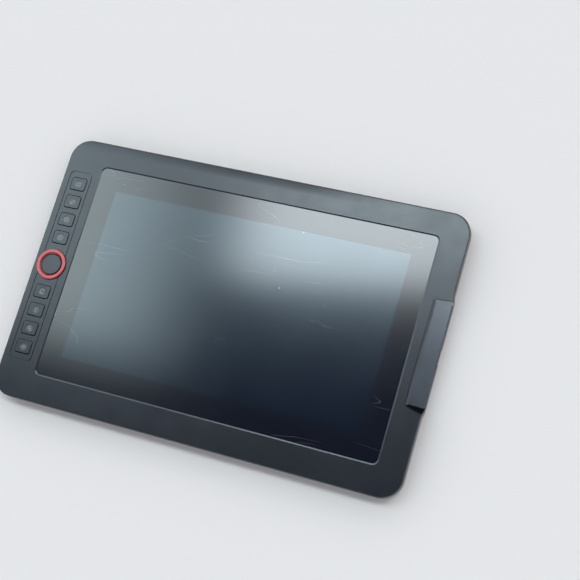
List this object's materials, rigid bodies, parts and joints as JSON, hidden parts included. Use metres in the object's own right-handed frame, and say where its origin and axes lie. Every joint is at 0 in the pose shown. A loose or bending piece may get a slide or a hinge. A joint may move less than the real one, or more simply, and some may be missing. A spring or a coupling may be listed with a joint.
{
  "type": "graphics tablet with screen",
  "caption": "Flat pen display with a flush glass screen, a column of shortcut keys split by a red dial, a sloping side plate over the plug socket, and rubber feet.",
  "frame": {"origin": "centre of the footprint, on the plane of the feet", "axes": "+X to the right along the long side, +Y up the screen, +Z out of the glass"},
  "size_m": [0.3488, 0.2248, 0.0144],
  "materials": {
    "bezel_plastic": "fine matte texture",
    "rear_plastic": "matte texture",
    "plate_plastic": "fine matte texture",
    "port_metal": "satin",
    "screen_glass": "smooth, lightly etched",
    "tape_foam": "matt",
    "panel_glass": "smooth",
    "film_white": "smooth",
    "tray_metal": "satin",
    "board_resin": "satin solder mask",
    "shield_steel": "satin",
    "flex_film": "smooth",
    "chip_resin": "matt",
    "mat_rubber": "matt",
    "ring_red": "satin",
    "wheel_plastic": "satin",
    "cap_plastic": "fine matte texture",
    "screw_steel": "black oxide",
    "key_plastic": "fine matte texture",
    "button_plastic": "satin",
    "foot_rubber": "matt"
  },
  "bodies": {
    "case": {"front_bezel": "bezel_plastic", "rear_cover": "rear_plastic", "side_plate": "plate_plastic", "usb_c_port": "port_metal", "cover_glass": "screen_glass", "dial_hub": "wheel_plastic", "dial_cap": "cap_plastic", "case_screws": "screw_steel", "glass_tape": "tape_foam", "lcd_panel": "panel_glass", "backlight": "film_white", "panel_tray": "tray_metal", "digitizer_board": "board_resin", "shield_plate": "shield_steel", "panel_flexes": "flex_film", "driver_board": "board_resin", "display_ribbon": "flex_film", "key_ribbon": "flex_film", "main_board": "board_resin", "board_chips": "chip_resin", "key_board": "board_resin", "key_mat": "mat_rubber", "button_board": "board_resin", "button_switches": "chip_resin", "board_screws": "screw_steel", "main_board_screws": "screw_steel", "foot_top_left": "foot_rubber", "foot_top_right": "foot_rubber", "foot_bottom_left": "foot_rubber", "foot_bottom_right": "foot_rubber"},
    "dial": {"dial_ring": "ring_red", "dial_wheel": "wheel_plastic"},
    "express_key_1_body": {"express_key_1": "key_plastic"},
    "express_key_2_body": {"express_key_2": "key_plastic"},
    "express_key_3_body": {"express_key_3": "key_plastic"},
    "express_key_4_body": {"express_key_4": "key_plastic"},
    "express_key_5_body": {"express_key_5": "key_plastic"},
    "express_key_6_body": {"express_key_6": "key_plastic"},
    "express_key_7_body": {"express_key_7": "key_plastic"},
    "express_key_8_body": {"express_key_8": "key_plastic"},
    "power_button_body": {"power_button": "button_plastic"},
    "brightness_up_button_body": {"brightness_up_button": "button_plastic"},
    "brightness_down_button_body": {"brightness_down_button": "button_plastic"}
  },
  "joints": [
    {"name": "dial_turn", "type": "hinge", "parent": "case", "child": "dial", "pos_m": [-0.15835, 0.0009, 0.0122], "axis": [0, 0, 1], "continuous": true},
    {"name": "express_key_1_press", "type": "slide", "parent": "case", "child": "express_key_1_body", "axis": [0, 0, -1], "range_m": [0, 0.0005], "stiffness_N_per_m": 1500},
    {"name": "express_key_2_press", "type": "slide", "parent": "case", "child": "express_key_2_body", "axis": [0, 0, -1], "range_m": [0, 0.0005], "stiffness_N_per_m": 1500},
    {"name": "express_key_3_press", "type": "slide", "parent": "case", "child": "express_key_3_body", "axis": [0, 0, -1], "range_m": [0, 0.0005], "stiffness_N_per_m": 1500},
    {"name": "express_key_4_press", "type": "slide", "parent": "case", "child": "express_key_4_body", "axis": [0, 0, -1], "range_m": [0, 0.0005], "stiffness_N_per_m": 1500},
    {"name": "express_key_5_press", "type": "slide", "parent": "case", "child": "express_key_5_body", "axis": [0, 0, -1], "range_m": [0, 0.0005], "stiffness_N_per_m": 1500},
    {"name": "express_key_6_press", "type": "slide", "parent": "case", "child": "express_key_6_body", "axis": [0, 0, -1], "range_m": [0, 0.0005], "stiffness_N_per_m": 1500},
    {"name": "express_key_7_press", "type": "slide", "parent": "case", "child": "express_key_7_body", "axis": [0, 0, -1], "range_m": [0, 0.0005], "stiffness_N_per_m": 1500},
    {"name": "express_key_8_press", "type": "slide", "parent": "case", "child": "express_key_8_body", "axis": [0, 0, -1], "range_m": [0, 0.0005], "stiffness_N_per_m": 1500},
    {"name": "power_button_press", "type": "slide", "parent": "case", "child": "power_button_body", "axis": [0, -1, 0], "range_m": [0, 0.0004], "stiffness_N_per_m": 2000},
    {"name": "brightness_up_button_press", "type": "slide", "parent": "case", "child": "brightness_up_button_body", "axis": [0, -1, 0], "range_m": [0, 0.0004], "stiffness_N_per_m": 2000},
    {"name": "brightness_down_button_press", "type": "slide", "parent": "case", "child": "brightness_down_button_body", "axis": [0, -1, 0], "range_m": [0, 0.0004], "stiffness_N_per_m": 2000}
  ]
}
